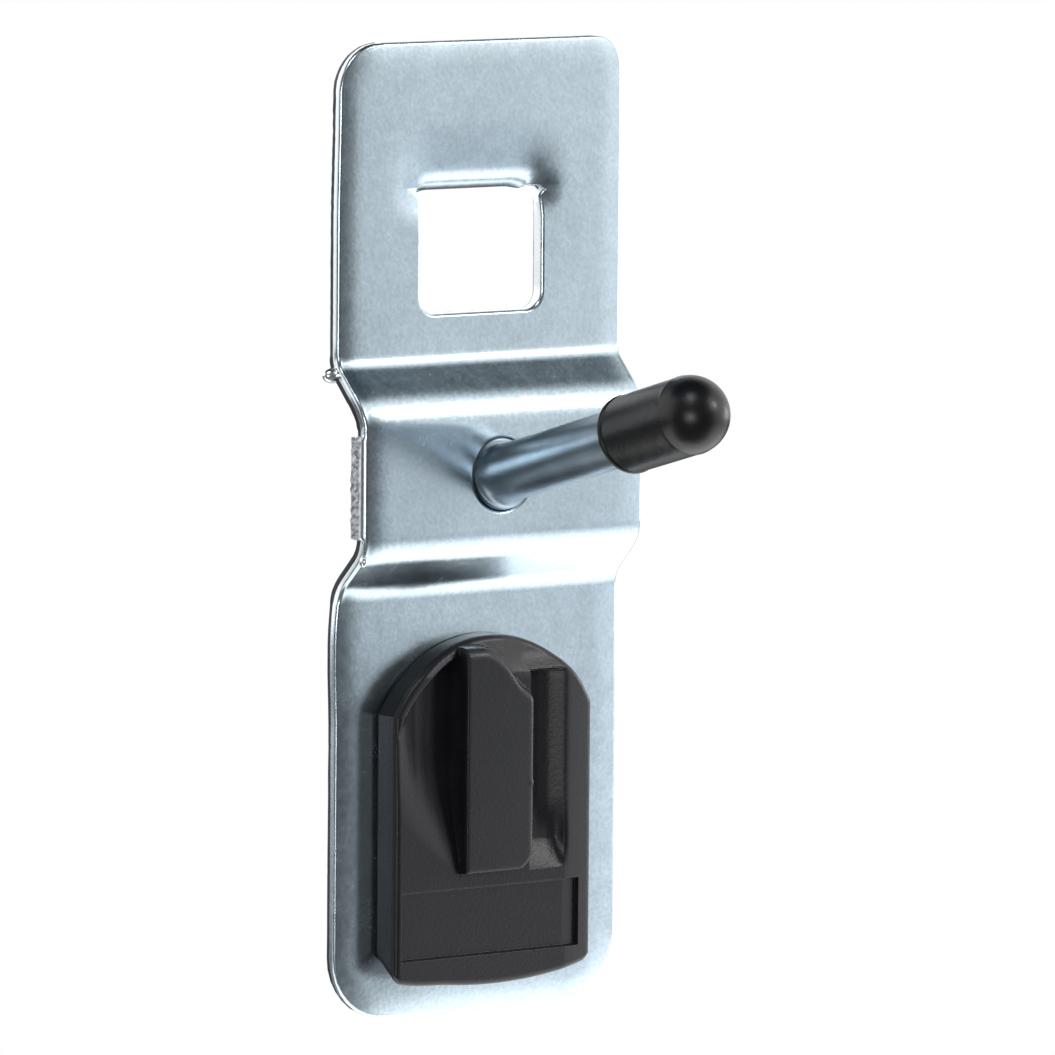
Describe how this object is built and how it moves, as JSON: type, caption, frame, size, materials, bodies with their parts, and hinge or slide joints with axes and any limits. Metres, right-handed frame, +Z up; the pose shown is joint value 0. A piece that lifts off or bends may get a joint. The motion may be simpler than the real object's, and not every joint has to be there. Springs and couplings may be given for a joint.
{
  "type": "pegboard hook",
  "caption": "Straight peg on a stamped steel plate for a square-hole tool panel, with a soft end cap, a bent-back tongue and a moulded pull-out lock clip.",
  "frame": {"origin": "on the flat back of the plate, middle of its width, 9.7 mm above the middle of the lower panel hole", "axes": "+X to the right seen from the front, +Y into the panel, +Z up; the peg points along -Y and slightly up"},
  "size_m": [0.0246, 0.0332, 0.0666],
  "materials": {
    "plate_steel": "bright zinc plating with a blue tint, semi-gloss",
    "peg_steel": "bright zinc plating, semi-gloss",
    "cap_vinyl": "dip-moulded vinyl, semi-gloss black",
    "clip_nylon": "moulded nylon, fine spark-eroded grain, black"
  },
  "bodies": {
    "hook": {"back_plate": "plate_steel", "peg": "peg_steel", "end_cap": "cap_vinyl"},
    "lock": {"lock_clip": "clip_nylon"}
  },
  "joints": [
    {"name": "lock_pull", "type": "slide", "parent": "hook", "child": "lock", "axis": [0, -1, 0], "range_m": [0, 0.0025]}
  ]
}
